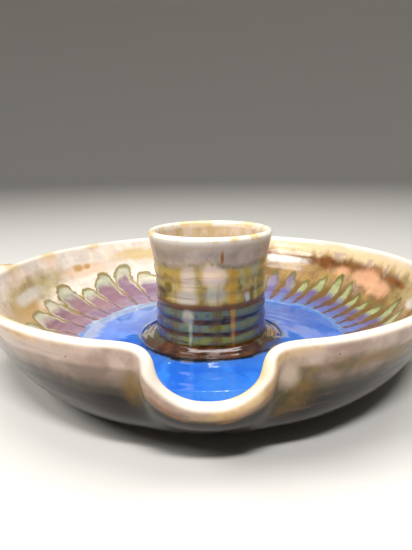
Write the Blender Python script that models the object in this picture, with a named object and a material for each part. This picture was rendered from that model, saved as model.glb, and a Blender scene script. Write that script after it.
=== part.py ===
# A hand-thrown stoneware chip and dip server: a wide bowl with a pouring notch in its rim,
# a cup for the dip in the middle, two lug handles, and glass pooled in both floors.
# Metres, +Z up. The origin is on the table under the middle of the foot; the notch faces -Y.
import math

import bmesh
import bpy
from mathutils import Vector

# Gap left between pieces that are luted together.
CLEARANCE = 0.0003

# Bowl.
BOWL_RADIUS = 0.140          # outermost edge of the rim
BOWL_HEIGHT = 0.0585         # crown of the rim above the table
RIM_THICKNESS = 0.0062
FLOOR_THICKNESS = 0.0062
CORNER_EXTRA = 0.0034        # clay left inside the turn from floor to wall
CORNER_REACH = 0.024         # how far that clay spreads either side of the turn
CORNER_SHARE = 0.35          # where it is thickest, as a share of the wall's run
BASE_RADIUS = 0.086          # where the flat bottom turns up into the wall
WALL_FULLNESS = 3.1          # exponent of the wall's curve; a higher one is fuller

# Foot.
FOOT_RADIUS = 0.081
FOOT_WIDTH = 0.010
FOOT_HEIGHT = 0.0055
FOOT_EDGE = 0.0014           # rounding of the edges that meet the table

# Pouring notch.
NOTCH_DEPTH = 0.0260
NOTCH_HALF_WIDTH = 0.0200    # half the opening at half its depth, before its sides are drawn up
NOTCH_SQUARENESS = 2.7       # exponent of the notch's outline; a higher one is squarer
FLANK_OFFSET = 0.0252        # from the notch's middle to its upright sides
FLANK_GATHER = 0.78          # share of their width by which the sides are drawn upright
FLANK_REACH = 0.0125         # how far that drawing-in spreads
LIP_THICKNESS = 0.0084
LIP_SWELL_START = 0.4        # row of the wall where it starts to thicken towards the lip
LIP_FLARE = 0.0034           # how far the lip rolls outwards
LIP_FLARE_WIDTH = 0.028      # half the stretch of rim that rolls outwards
LIP_FLARE_START = 0.7        # row of the wall where it starts to roll outwards
BELLY_BULGE = 0.008          # how far the wall under the notch is pushed out
BELLY_SPREAD = 0.62          # radians either side of the notch
SHOULDER_PINCH = 0.0022      # how far the wall beside the notch is drawn in
SHOULDER_WIDTH = 0.011

# Dip cup.
CUP_RIM_RADIUS = 0.0402      # outermost edge of the cup's rim
CUP_WAIST_RADIUS = 0.0352
CUP_BASE_RADIUS = 0.0364
CUP_TOP = 0.0845             # crown of the cup's rim above the table
CUP_WALL = 0.0046
CUP_FLOOR = 0.0060
CUP_CORNER = 0.0070          # rounding inside, from wall to floor
CUP_WAIST_SHARE = 0.42       # the waist's height, as a share of the cup's height
CUP_FLARE = 2.2              # exponent of the curve above the waist; a higher one flares later

# Collar worked round the cup's base.
COLLAR_RADIUS = 0.0476
COLLAR_HEIGHT = 0.0052
COLLAR_TOE = 0.0014          # thickness of its outer edge
COLLAR_CREST = 0.12          # width of its level top, as a share of its width

# Pooled glass.
BOWL_POOL_DEPTH = 0.0019     # above the middle of the bowl's floor
BOWL_POOL_EDGE = 0.0004
CUP_POOL_DEPTH = 0.0020
LOWEST_POOL_ROW = -0.6       # the pool's edge is looked for between these rows
HIGHEST_POOL_ROW = 0.9

# Lug handles, level with the rim.
HANDLE_SPAN = 0.042          # between the middles of the two roots
HANDLE_REACH = 0.033         # from the rim's edge to the middle of the grip
HANDLE_WIDTH = 0.0125
HANDLE_THICKNESS = 0.0066
HANDLE_DROP = 0.0008         # the handle's top below the rim's crown
ROOT_WIDTH = 0.0165
ROOT_THICKNESS = 0.0105
ROOT_LENGTH = 0.012          # length over which the grip swells into its root
ROOT_BITE = 0.010            # how far the uncut root runs in past the rim's edge
HANDLE_SQUARENESS = 0.8      # exponent of the grip's section; 1 is an ellipse, less is squarer

# Facets.
COARSE_STEP = 5.9            # degrees round the bowl
FINE_STEP = 1.5              # degrees round the notch
FINE_REACH = 27.0            # degrees either side of the notch
FOOT_SEGMENTS = 60
CUP_SEGMENTS = 48
RIM_STEPS = 6
FOOT_EDGE_STEPS = 3
FILLET_STEPS = 6
POOL_FILLET_STEPS = 4
CUP_LEVELS = 8
COLLAR_LEVELS = 3
COLLAR_STEPS = 5
HANDLE_SECTIONS = 26
HANDLE_SIDES = 14
HALVINGS = 40                # steps that narrow down the pool's edge

# Bowl wall: worked out from the values above.
UNDERSIDE = FOOT_HEIGHT + CLEARANCE
FLOOR_MIDDLE = UNDERSIDE + FLOOR_THICKNESS / 2
RIM_MIDDLE = BOWL_HEIGHT - RIM_THICKNESS / 2
RIM_MIDDLE_RADIUS = BOWL_RADIUS - RIM_THICKNESS / 2
WALL_RUN = RIM_MIDDLE_RADIUS - BASE_RADIUS
FLOOR_TOP = UNDERSIDE + FLOOR_THICKNESS
SHOULDER_OFFSET = FLANK_OFFSET + SHOULDER_WIDTH
CORNER_MIDDLE = BASE_RADIUS + CORNER_SHARE * WALL_RUN

# Rows of points from the axis (-1) past the floor's edge (0) towards the rim (1).
WALL_ROWS = (0.0, 0.14, 0.28, 0.42, 0.54, 0.66, 0.77, 0.88)
INNER_ROWS = (-0.72, -0.44, -0.32, -0.21, -0.10) + WALL_ROWS


def smooth(value):
    """Ease from 0 to 1 as value goes from 0 to 1."""
    value = min(max(value, 0.0), 1.0)
    return value * value * (3 - 2 * value)


def blend(first, second, share):
    return first + (second - first) * share


def direction(angle):
    """Level unit vector at an angle from the notch, turning towards +X."""
    return Vector((math.sin(angle), -math.cos(angle), 0))


def notch(angle):
    """How deep the rim is pulled down at an angle: 1 in the notch, 0 away from it."""
    across = BOWL_RADIUS * abs(angle)
    return 0.5 ** ((across / NOTCH_HALF_WIDTH) ** NOTCH_SQUARENESS)


def gather(angle):
    """Turn, at the rim, that draws the notch's sides upright."""
    total = 0
    for side in (-1, 1):
        beyond = BOWL_RADIUS * angle - side * FLANK_OFFSET
        total -= FLANK_GATHER * beyond * math.exp(-((beyond / FLANK_REACH) ** 2))
    return total / BOWL_RADIUS


def wall_push(angle, rise, along):
    """How far the wall leaves its turned shape, outwards."""
    belly = BELLY_BULGE * math.exp(-((angle / BELLY_SPREAD) ** 2)) * 4 * rise * (1 - rise)
    beside = (BOWL_RADIUS * abs(angle) - SHOULDER_OFFSET) / SHOULDER_WIDTH
    pinch = SHOULDER_PINCH * math.exp(-beside * beside) * rise * rise
    rolled = math.exp(-((BOWL_RADIUS * angle / LIP_FLARE_WIDTH) ** 4))
    flare = LIP_FLARE * rolled * smooth((along - LIP_FLARE_START) / (1 - LIP_FLARE_START))
    return belly - pinch + flare


def wall_middle(angle, row):
    """Point midway through the clay: row -1 is the axis, 0 the edge of the floor, 1 the rim."""
    if row <= 0:
        return direction(angle) * BASE_RADIUS * (1 + row) + Vector((0, 0, FLOOR_MIDDLE))
    top = RIM_MIDDLE - NOTCH_DEPTH * notch(angle)
    whole = RIM_MIDDLE - FLOOR_MIDDLE
    rise = ((top - FLOOR_MIDDLE) / whole) ** (1 / WALL_FULLNESS) * row
    radius = BASE_RADIUS + WALL_RUN * rise + wall_push(angle, rise, row)
    drawn = angle + gather(angle) * row * row
    return direction(drawn) * radius + Vector((0, 0, FLOOR_MIDDLE + whole * rise ** WALL_FULLNESS))


def wall_frame(angle, row):
    """Point midway through the clay, its normal into the bowl, and the way on towards the rim."""
    middle = wall_middle(angle, row)
    if row <= 0:
        return middle, Vector((0, 0, 1)), direction(angle)
    step = 1e-4
    up = wall_middle(angle, row + step) - wall_middle(angle, row - step)
    round_about = wall_middle(angle + step, row) - wall_middle(angle - step, row)
    normal = round_about.cross(up).normalized()
    if normal.z < 0:
        normal.negate()
    outward = (up - up.project(round_about)).normalized()
    return middle, normal, outward


def half_thickness(angle, row):
    swell = smooth((row - LIP_SWELL_START) / (1 - LIP_SWELL_START))
    rim = blend(RIM_THICKNESS, LIP_THICKNESS, notch(angle) * swell)
    return blend(FLOOR_THICKNESS, rim, smooth(row)) / 2


def outer_skin(angle, row, gap=0.0):
    middle, normal, _ = wall_frame(angle, row)
    return middle - normal * (half_thickness(angle, row) + gap)


def inner_skin(angle, row, gap=0.0):
    middle, normal, _ = wall_frame(angle, row)
    radius = math.hypot(middle.x, middle.y)
    extra = CORNER_EXTRA * math.exp(-(((radius - CORNER_MIDDLE) / CORNER_REACH) ** 2))
    return middle + normal * (half_thickness(angle, row) + extra * smooth((1 - row) * 2) + gap)


def rim_round(angle, first, last, gap=0.0):
    """Arc over the rim, in degrees: 180 at the inner skin, 90 at the crown, 0 at the outer skin."""
    middle, normal, outward = wall_frame(angle, 1.0)
    reach = half_thickness(angle, 1.0) + gap
    points = []
    for step in range(RIM_STEPS + 1):
        turn = math.radians(blend(first, last, step / RIM_STEPS))
        points.append(middle + (outward * math.sin(turn) - normal * math.cos(turn)) * reach)
    return points


def bowl_angles():
    """Angles of the bowl's columns, closer together round the notch."""
    fine = round(2 * FINE_REACH / FINE_STEP)
    coarse = round((360 - 2 * FINE_REACH) / COARSE_STEP)
    angles = [-FINE_REACH + 2 * FINE_REACH * i / fine for i in range(fine)]
    angles += [FINE_REACH + (360 - 2 * FINE_REACH) * i / coarse for i in range(coarse)]
    return [math.radians(a if a <= 180 else a - 360) for a in angles]


def even_angles(count):
    return [math.tau * i / count for i in range(count)]


def glaze(name, colour, roughness):
    """Principled material of one fired finish."""
    material = bpy.data.materials.new(name)
    material.use_nodes = True
    shader = material.node_tree.nodes["Principled BSDF"]
    shader.inputs["Base Color"].default_value = (*colour, 1)
    shader.inputs["Roughness"].default_value = roughness
    shader.inputs["Metallic"].default_value = 0.0
    return material


def add_object(name, mesh_data, material=None):
    """Object of a bmesh, with its faces turned outwards and its round parts shaded smooth."""
    bmesh.ops.recalc_face_normals(mesh_data, faces=mesh_data.faces)
    mesh = bpy.data.meshes.new(name)
    mesh_data.to_mesh(mesh)
    mesh_data.free()
    mesh.shade_smooth()
    mesh.set_sharp_from_angle(angle=math.radians(40))
    if material:
        mesh.materials.append(material)
    piece = bpy.data.objects.new(name, mesh)
    bpy.context.collection.objects.link(piece)
    return piece


def lathe(name, columns, material=None, ring=False):
    """Solid from columns of points round the axis.

    A ring's columns are closed outlines. Any other column starts and ends on the axis.
    """
    data = bmesh.new()
    inner = columns if ring else [column[1:-1] for column in columns]
    rows = [[data.verts.new(point) for point in column] for column in inner]
    count = len(rows)
    length = len(rows[0])
    for i in range(count):
        here, after = rows[i], rows[(i + 1) % count]
        for j in range(length if ring else length - 1):
            k = (j + 1) % length
            data.faces.new((here[j], here[k], after[k], after[j]))
    if not ring:
        for end, edge in ((0, 0), (-1, -1)):
            pole = data.verts.new(columns[0][end])
            for i in range(count):
                data.faces.new((pole, rows[i][edge], rows[(i + 1) % count][edge]))
    return add_object(name, data, material)


def turned(name, outline, angles, material, ring=False):
    """Solid turned from an outline of radius and height."""
    columns = [[direction(angle) * r + Vector((0, 0, z)) for r, z in outline] for angle in angles]
    return lathe(name, columns, material, ring)


def build_bowl(material):
    columns = []
    for angle in bowl_angles():
        column = [inner_skin(0, -1)]
        column += [inner_skin(angle, row) for row in INNER_ROWS]
        column += rim_round(angle, 180, 0)
        column += [outer_skin(angle, row) for row in reversed(WALL_ROWS)]
        column += [outer_skin(0, -1)]
        columns.append(column)
    return lathe("bowl", columns, material)


def build_foot(material):
    inside = FOOT_RADIUS - FOOT_WIDTH
    outline = [(inside, FOOT_HEIGHT), (FOOT_RADIUS, FOOT_HEIGHT)]
    turns = [math.radians(90 * step / FOOT_EDGE_STEPS) for step in range(FOOT_EDGE_STEPS + 1)]
    for turn in turns:
        outline.append((FOOT_RADIUS - FOOT_EDGE * (1 - math.cos(turn)), FOOT_EDGE * (1 - math.sin(turn))))
    for turn in turns:
        outline.append((inside + FOOT_EDGE * (1 - math.sin(turn)), FOOT_EDGE * (1 - math.cos(turn))))
    return turned("foot_ring", outline, even_angles(FOOT_SEGMENTS), material, ring=True)


CUP_BOTTOM = FLOOR_TOP + CLEARANCE
CUP_FLOOR_TOP = CUP_BOTTOM + CUP_FLOOR


def cup_radius(height):
    """Outer radius of the cup at a height above the table."""
    share = (height - CUP_BOTTOM) / (CUP_TOP - CUP_BOTTOM)
    if share < CUP_WAIST_SHARE:
        return blend(CUP_WAIST_RADIUS, CUP_BASE_RADIUS, (1 - share / CUP_WAIST_SHARE) ** 2)
    flare = (share - CUP_WAIST_SHARE) / (1 - CUP_WAIST_SHARE)
    return blend(CUP_WAIST_RADIUS, CUP_RIM_RADIUS, flare ** CUP_FLARE)


def cup_fillet_points(offset, lowest, highest, steps):
    """Arc inside the cup's corner, offset into the cup, in degrees up from straight down."""
    centre_height = CUP_FLOOR_TOP + CUP_CORNER
    centre_radius = cup_radius(centre_height) - CUP_WALL - CUP_CORNER
    points = []
    for step in range(steps + 1):
        turn = math.radians(blend(lowest, highest, step / steps))
        reach = CUP_CORNER - offset
        points.append((centre_radius + reach * math.sin(turn), centre_height - reach * math.cos(turn)))
    return points


def collar_levels():
    """Heights at which the collar and the cup share their points."""
    return [CUP_BOTTOM + COLLAR_HEIGHT * step / COLLAR_LEVELS for step in range(COLLAR_LEVELS + 1)]


def build_cup(material):
    rim_height = CUP_TOP - CUP_WALL / 2
    inside_low = CUP_FLOOR_TOP + CUP_CORNER
    levels = [blend(inside_low, rim_height, step / CUP_LEVELS) for step in range(CUP_LEVELS + 1)]
    outline = [(0, CUP_FLOOR_TOP)] + cup_fillet_points(0, 0, 90, FILLET_STEPS)
    outline += [(cup_radius(level) - CUP_WALL, level) for level in levels[1:-1]]
    middle = cup_radius(rim_height) - CUP_WALL / 2
    for step in range(RIM_STEPS + 1):
        turn = math.radians(180 - 180 * step / RIM_STEPS)
        outline.append((middle + math.cos(turn) * CUP_WALL / 2, rim_height + math.sin(turn) * CUP_WALL / 2))
    outline += [(cup_radius(level), level) for level in reversed(levels[:-1])]
    outline += [(cup_radius(level), level) for level in reversed(collar_levels())]
    outline.append((0, CUP_BOTTOM))
    return turned("dip_cup", outline, even_angles(CUP_SEGMENTS), material)


def build_collar(material):
    outline = [(cup_radius(level) + CLEARANCE, level) for level in collar_levels()]
    crest = blend(outline[-1][0], COLLAR_RADIUS, COLLAR_CREST)
    outline.append((crest, outline[-1][1]))
    for step in range(1, COLLAR_STEPS + 1):
        share = step / COLLAR_STEPS
        level = CUP_BOTTOM + COLLAR_TOE + (COLLAR_HEIGHT - COLLAR_TOE) * (1 - share) ** 2
        outline.append((blend(crest, COLLAR_RADIUS, share), level))
    outline.append((COLLAR_RADIUS, CUP_BOTTOM))
    return turned("cup_collar", outline, even_angles(CUP_SEGMENTS), material, ring=True)


def pool_edge_row(angle, level):
    """Row where the clay's inner skin, with the gap over it, comes up to a level."""
    low, high = LOWEST_POOL_ROW, HIGHEST_POOL_ROW
    for _ in range(HALVINGS):
        row = (low + high) / 2
        if inner_skin(angle, row, CLEARANCE).z < level:
            low = row
        else:
            high = row
    return (low + high) / 2


def build_bowl_pool(material):
    level = FLOOR_TOP + BOWL_POOL_DEPTH
    first = (COLLAR_RADIUS + CLEARANCE) / BASE_RADIUS - 1
    edges = [pool_edge_row(angle, level - BOWL_POOL_EDGE) for angle in bowl_angles()]
    shared = [row for row in INNER_ROWS if first < row < min(edges)]
    columns = []
    for angle, last in zip(bowl_angles(), edges):
        under = [inner_skin(angle, row, CLEARANCE) for row in [first] + shared + [last]]
        over = [Vector((point.x, point.y, level)) for point in under]
        columns.append(under + over[::-1])
    return lathe("bowl_glaze_pool", columns, material, ring=True)


def build_cup_pool(material):
    centre_height = CUP_FLOOR_TOP + CUP_CORNER
    level = CUP_FLOOR_TOP + CUP_POOL_DEPTH
    edge = math.degrees(math.acos((centre_height - level) / (CUP_CORNER - CLEARANCE)))
    outline = [(0, CUP_FLOOR_TOP + CLEARANCE)]
    outline += cup_fillet_points(CLEARANCE, 0, edge, POOL_FILLET_STEPS) + [(0, level)]
    return turned("cup_glaze_pool", outline, even_angles(CUP_SEGMENTS), material)


def build_wall_cutter():
    """Solid of the bowl's outside and a clearance, which trims the handles' roots."""
    columns = []
    for angle in bowl_angles():
        column = [Vector((0, 0, BOWL_HEIGHT + CLEARANCE))]
        column += rim_round(angle, 90, 0, CLEARANCE)
        column += [outer_skin(angle, row, CLEARANCE) for row in reversed(WALL_ROWS)]
        column += [outer_skin(0, -1, CLEARANCE)]
        columns.append(column)
    cutter = lathe("wall_cutter", columns)
    cutter.hide_render = True
    cutter.display_type = "WIRE"
    return cutter


def handle_section(share):
    """Cross-section of the grip at a share of the way from one root to the other."""
    turn = math.pi * (share - 0.5)
    start = BOWL_RADIUS - ROOT_BITE
    reach = HANDLE_REACH + ROOT_BITE
    centre = Vector((start + reach * math.cos(turn), HANDLE_SPAN / 2 * math.sin(turn), 0))
    along = Vector((-reach * math.sin(turn), HANDLE_SPAN / 2 * math.cos(turn), 0)).normalized()
    across = Vector((along.y, -along.x, 0))
    root = 1 - smooth((centre.x - BOWL_RADIUS) / ROOT_LENGTH)
    width = blend(HANDLE_WIDTH, ROOT_WIDTH, root)
    thickness = blend(HANDLE_THICKNESS, ROOT_THICKNESS, root)
    centre.z = BOWL_HEIGHT - HANDLE_DROP - thickness / 2
    points = []
    for side in range(HANDLE_SIDES):
        around = math.tau * side / HANDLE_SIDES
        level = math.sin(around)
        flat = math.copysign(abs(math.cos(around)) ** HANDLE_SQUARENESS, math.cos(around))
        points.append(centre + across * flat * width / 2 + Vector((0, 0, level * thickness / 2)))
    return points


def build_handle(name, side, material, cutter):
    """Lug handle on one side of the bowl, its roots trimmed to the wall."""
    data = bmesh.new()
    rings = []
    for i in range(HANDLE_SECTIONS + 1):
        points = handle_section(i / HANDLE_SECTIONS)
        rings.append([data.verts.new((point.x * side, point.y, point.z)) for point in points])
    for here, after in zip(rings, rings[1:]):
        for j in range(HANDLE_SIDES):
            k = (j + 1) % HANDLE_SIDES
            data.faces.new((here[j], here[k], after[k], after[j]))
    data.faces.new(rings[0])
    data.faces.new(rings[-1])
    handle = add_object(name, data, material)
    trim = handle.modifiers.new("trim_to_wall", "BOOLEAN")
    trim.operation = "DIFFERENCE"
    trim.solver = "EXACT"
    trim.object = cutter
    return handle


def main():
    for old in list(bpy.data.objects):
        bpy.data.objects.remove(old, do_unlink=True)
    cream = glaze("cream_glaze", (0.62, 0.53, 0.38), 0.18)
    ochre = glaze("ochre_green_glaze", (0.36, 0.27, 0.10), 0.18)
    brown = glaze("iron_brown_glaze", (0.10, 0.045, 0.022), 0.22)
    blue = glaze("cobalt_glass", (0.035, 0.12, 0.55), 0.06)
    amber = glaze("amber_glass", (0.28, 0.19, 0.07), 0.08)
    bare = glaze("bare_stoneware", (0.30, 0.20, 0.13), 0.75)

    build_bowl(cream)
    build_foot(bare)
    build_cup(ochre)
    build_collar(brown)
    build_bowl_pool(blue)
    build_cup_pool(amber)
    cutter = build_wall_cutter()
    build_handle("left_handle", -1, cream, cutter)
    build_handle("right_handle", 1, cream, cutter)


main()
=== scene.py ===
# Looks of a stoneware chip and dip server: a wide thrown bowl with a pouring lip, a cup in the middle
# for the dip, two lug handles and glass pooled in both floors.
# Metres, +Z up, the lip towards -Y. Angles are measured from the lip and turn towards +X.
import math

import bpy
import numpy as np
from mathutils import Matrix, Vector


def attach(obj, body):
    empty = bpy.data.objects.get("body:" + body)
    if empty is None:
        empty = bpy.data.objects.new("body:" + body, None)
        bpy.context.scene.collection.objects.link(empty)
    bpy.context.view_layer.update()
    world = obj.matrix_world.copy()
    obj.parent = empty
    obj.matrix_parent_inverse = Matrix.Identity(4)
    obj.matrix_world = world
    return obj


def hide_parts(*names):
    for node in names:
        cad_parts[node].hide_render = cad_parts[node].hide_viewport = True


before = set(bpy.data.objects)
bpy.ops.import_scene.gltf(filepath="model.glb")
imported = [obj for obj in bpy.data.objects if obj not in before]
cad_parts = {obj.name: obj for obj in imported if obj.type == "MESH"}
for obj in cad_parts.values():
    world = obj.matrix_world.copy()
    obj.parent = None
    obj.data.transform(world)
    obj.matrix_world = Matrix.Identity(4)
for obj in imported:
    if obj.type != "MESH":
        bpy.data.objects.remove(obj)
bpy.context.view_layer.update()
print("frame loaded:", ", ".join(sorted(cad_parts)))

tau = math.tau


class Wire:  # one output of a node; sums on it add Math nodes
    def __init__(self, bench, socket):
        self.bench, self.socket = bench, socket

    def part(self, name):  # another output of the same node
        return Wire(self.bench, self.socket.node.outputs[name])

    def sum(self, operation, *others):
        return self.bench.maths(operation, self, *others)

    def __add__(self, other): return self.sum("ADD", other)
    def __radd__(self, other): return self.bench.maths("ADD", other, self)
    def __sub__(self, other): return self.sum("SUBTRACT", other)
    def __rsub__(self, other): return self.bench.maths("SUBTRACT", other, self)
    def __mul__(self, other): return self.sum("MULTIPLY", other)
    def __rmul__(self, other): return self.bench.maths("MULTIPLY", other, self)
    def __truediv__(self, other): return self.sum("DIVIDE", other)
    def __rtruediv__(self, other): return self.bench.maths("DIVIDE", other, self)
    def __pow__(self, other): return self.sum("POWER", other)
    def __neg__(self): return self.bench.maths("MULTIPLY", self, -1.0)
    def __abs__(self): return self.sum("ABSOLUTE")

    def ease(self, low, high):  # 0 below low, 1 above high, smooth between; also with low above high
        return self.bench.add("ShaderNodeMapRange", {"interpolation_type": "SMOOTHSTEP"},
            {"Value": self, "From Min": low, "From Max": high})


class Bench:  # a node tree and the nodes added to it
    def __init__(self, tree):
        self.tree = tree

    def add(self, kind, settings=None, values=None, out=0):
        node = self.tree.nodes.new(kind)
        for key, value in (settings or {}).items():
            setattr(node, key, value)
        for key, value in (values or {}).items():
            if isinstance(value, Wire):
                self.tree.links.new(value.socket, node.inputs[key])
            else:
                node.inputs[key].default_value = value
        return Wire(self, node.outputs[out])

    def maths(self, operation, *terms):
        return self.add("ShaderNodeMath", {"operation": operation}, dict(enumerate(terms)))

    def mix(self, first, second, share):  # colours
        return self.add("ShaderNodeMix", {"data_type": "RGBA"}, {0: share, 6: first, 7: second}, out=2)

    def vector(self, x, y, z):
        return self.add("ShaderNodeCombineXYZ", None, {0: x, 1: y, 2: z})

    def noise(self, vector, scale, detail=2.0, roughness=0.5, distortion=0.0):
        return self.add("ShaderNodeTexNoise", None,
            {"Vector": vector, "Scale": scale, "Detail": detail, "Roughness": roughness,
            "Distortion": distortion})

    def chance(self, number, seed):  # a fixed random value from 0 to 1 for each whole number
        return self.add("ShaderNodeTexWhiteNoise", {"noise_dimensions": "2D"},
            {"Vector": self.vector(number, seed, 0.0)})


def tint(code):  # a colour written as six hex digits, as Blender's linear colour
    parts = []
    for i in (0, 2, 4):
        share = int(code[i:i + 2], 16) / 255
        share = share / 12.92 if share <= 0.04045 else ((share + 0.055) / 1.055) ** 2.4
        parts.append(share)
    return (*parts, 1.0)


class Glaze(Bench):  # a fired surface: a material with the readings that its patterns share
    def __init__(self, name):
        self.material = bpy.data.materials.new(name)
        self.material.use_nodes = True
        super().__init__(self.material.node_tree)
        self.shader = self.tree.nodes["Principled BSDF"]
        self.place = self.add("ShaderNodeTexCoord", None, None, "Object")
        self.x = self.add("ShaderNodeSeparateXYZ", None, {0: self.place})
        self.y = self.x.part("Y")
        self.z = self.x.part("Z")
        self.radius = (self.x * self.x + self.y * self.y) ** 0.5
        self.angle = self.maths("ARCTAN2", self.x, -self.y)
        self.climb = self.radius + self.z
        self.drift = self.noise(self.place, 38.0, 4.0, 0.6) - 0.5   # slow wandering of every edge
        self.grain = self.noise(self.place, 190.0, 4.0, 0.6) - 0.5
        self.comb = self.noise(self.around(0.12, 0.16), 70.0, 3.0, 0.55) - 0.5   # runs up and down the wall

    def around(self, reach, stretch):  # a place for streaks that run up and down the wall, without a seam
        share = reach / (self.radius + 1e-5)
        return self.vector(self.x * share, self.y * share, self.climb * stretch)

    # 1 inside a ragged oval of glaze
    def patch(self, degrees, height, halfDegrees, halfHeight, ragged=1.0, soft=0.35, combed=0.0):
        turn = self.maths("WRAP", self.angle - math.radians(degrees), math.pi, -math.pi)
        across = turn / math.radians(halfDegrees)
        up = (self.z - height) / halfHeight
        reach = (across * across + up * up) ** 0.5 + self.drift * 2.2 * ragged + self.grain * 0.45 * ragged
        if combed:
            reach = reach + self.comb * combed
        return reach.ease(0.95 + soft, 0.95 - soft)

    def specks(self, scale, size, share):  # scattered iron spots
        cell = self.add("ShaderNodeTexVoronoi", None, {"Vector": self.place, "Scale": scale})
        pick = self.add("ShaderNodeSeparateColor", None, {0: cell.part("Color")})
        return cell.part("Distance").ease(size, size * 0.5) * pick.ease(1 - share, 1 - share + 0.02)

    def fire(self, colour, roughness, height, fixed):  # joins the readings to the shader
        bump = self.add("ShaderNodeBump", None,
            {"Strength": fixed.pop("bump", 0.5), "Distance": 1.0, "Height": height})
        for key, value in {"Base Color": colour, "Roughness": roughness, "Normal": bump, **fixed}.items():
            if isinstance(value, Wire):
                self.tree.links.new(value.socket, self.shader.inputs[key])
            else:
                self.shader.inputs[key].default_value = value
        return self.material


glassy = {"IOR": 1.5, "Specular IOR Level": 0.38, "Coat Weight": 0.40, "Coat Roughness": 0.05,
    "Coat IOR": 1.5}


def smooth(value):
    value = np.clip(value, 0.0, 1.0)
    return value * value * (3 - 2 * value)


def blend(first, second, share):
    return first + (second - first) * share


def meshOf(name, points, faces, readings=None):
    mesh = bpy.data.meshes.new(name)
    mesh.from_pydata(points.tolist(), [], faces)
    for reading, values in (readings or {}).items():
        mesh.attributes.new(reading, "FLOAT", "POINT").data.foreach_set("value",
            np.asarray(values, np.float32).ravel())
    mesh.polygons.foreach_set("use_smooth", np.ones(len(mesh.polygons), bool))
    mesh.update()
    piece = bpy.data.objects.new(name, mesh)
    bpy.context.scene.collection.objects.link(piece)
    return piece


# quads between neighbouring columns, closed round the axis
def columnsToFaces(columns, rows, poles=True, ring=False):
    here = np.arange(columns)
    after = (here + 1) % columns
    low = np.arange(rows if ring else rows - 1)
    high = (low + 1) % rows
    faces = np.stack((here[:, None] * rows + low, after[:, None] * rows + low, after[:, None] * rows + high,
        here[:, None] * rows + high), -1).reshape(-1, 4).tolist()
    if poles:
        first, last = columns * rows, columns * rows + 1
        faces += [(first, int(b) * rows, int(a) * rows) for a, b in zip(here, after)]
        faces += [(last, int(a) * rows + rows - 1, int(b) * rows + rows - 1) for a, b in zip(here, after)]
    return faces


def nodeTree(name, sockets):  # an empty geometry tree with named inputs
    tree = bpy.data.node_groups.new(name, "GeometryNodeTree")
    tree.interface.new_socket("Geometry", in_out="INPUT", socket_type="NodeSocketGeometry")
    for label, kind in sockets:
        tree.interface.new_socket(label, in_out="INPUT", socket_type="NodeSocket" + kind)
    tree.interface.new_socket("Geometry", in_out="OUTPUT", socket_type="NodeSocketGeometry")
    bench = Bench(tree)
    given = bench.add("NodeGroupInput")
    return bench, given


def finishTree(bench, given, geometry):  # every tree ends in real, smooth, glazed faces
    shaded = bench.add("GeometryNodeSetShadeSmooth", None, {"Geometry": geometry})
    real = bench.add("GeometryNodeRealizeInstances", None, {"Geometry": shaded})
    glazed = bench.add("GeometryNodeSetMaterial", None,
        {"Geometry": real, "Material": given.part("Material")})
    end = bench.tree.nodes.new("NodeGroupOutput")
    bench.tree.links.new(glazed.socket, end.inputs["Geometry"])


def ringTree():  # spiral ridges that the fingers leave in thrown clay, and the slow unevenness of the hand
    bench, given = nodeTree("throwing rings",
        [("Ring Spacing", "Float"), ("Ring Depth", "Float"), ("Waver", "Float"), ("Lump Size", "Float"),
        ("Lump Depth", "Float"), ("Seed", "Int"), ("Material", "Material")])
    place = bench.add("GeometryNodeInputPosition")
    x = bench.add("ShaderNodeSeparateXYZ", None, {0: place})
    turn = bench.maths("ARCTAN2", x, -x.part("Y")) / tau
    along = bench.add("GeometryNodeInputNamedAttribute", {"data_type": "FLOAT"}, {"Name": "fromCrown"})
    marks = bench.add("GeometryNodeInputNamedAttribute", {"data_type": "FLOAT"}, {"Name": "wheelMarks"})
    slow = bench.add("ShaderNodeTexNoise", {"noise_dimensions": "4D"},
        {"Vector": place, "W": given.part("Seed") * 7.3, "Scale": 16.0, "Detail": 1.0})
    lumps = bench.add("ShaderNodeTexNoise", {"noise_dimensions": "4D"},
        {"Vector": place, "W": given.part("Seed") * 3.1 + 5.0, "Scale": 1.0 / given.part("Lump Size"),
        "Detail": 2.0})
    phase = along / given.part("Ring Spacing") + turn + (slow - 0.5) * given.part("Waver")
    ridge = bench.maths("SINE", phase * tau)
    strength = (slow * 1.9).sum("MINIMUM", 1.0)
    offset = (ridge * given.part("Ring Depth") * strength
        + (lumps - 0.5) * given.part("Lump Depth")) * marks
    normal = bench.add("GeometryNodeInputNormal")
    push = bench.add("ShaderNodeVectorMath", {"operation": "SCALE"}, {0: normal, "Scale": offset})
    moved = bench.add("GeometryNodeSetPosition", None, {"Geometry": given.part("Geometry"), "Offset": push})
    finishTree(bench, given, moved)
    return bench.tree


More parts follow.
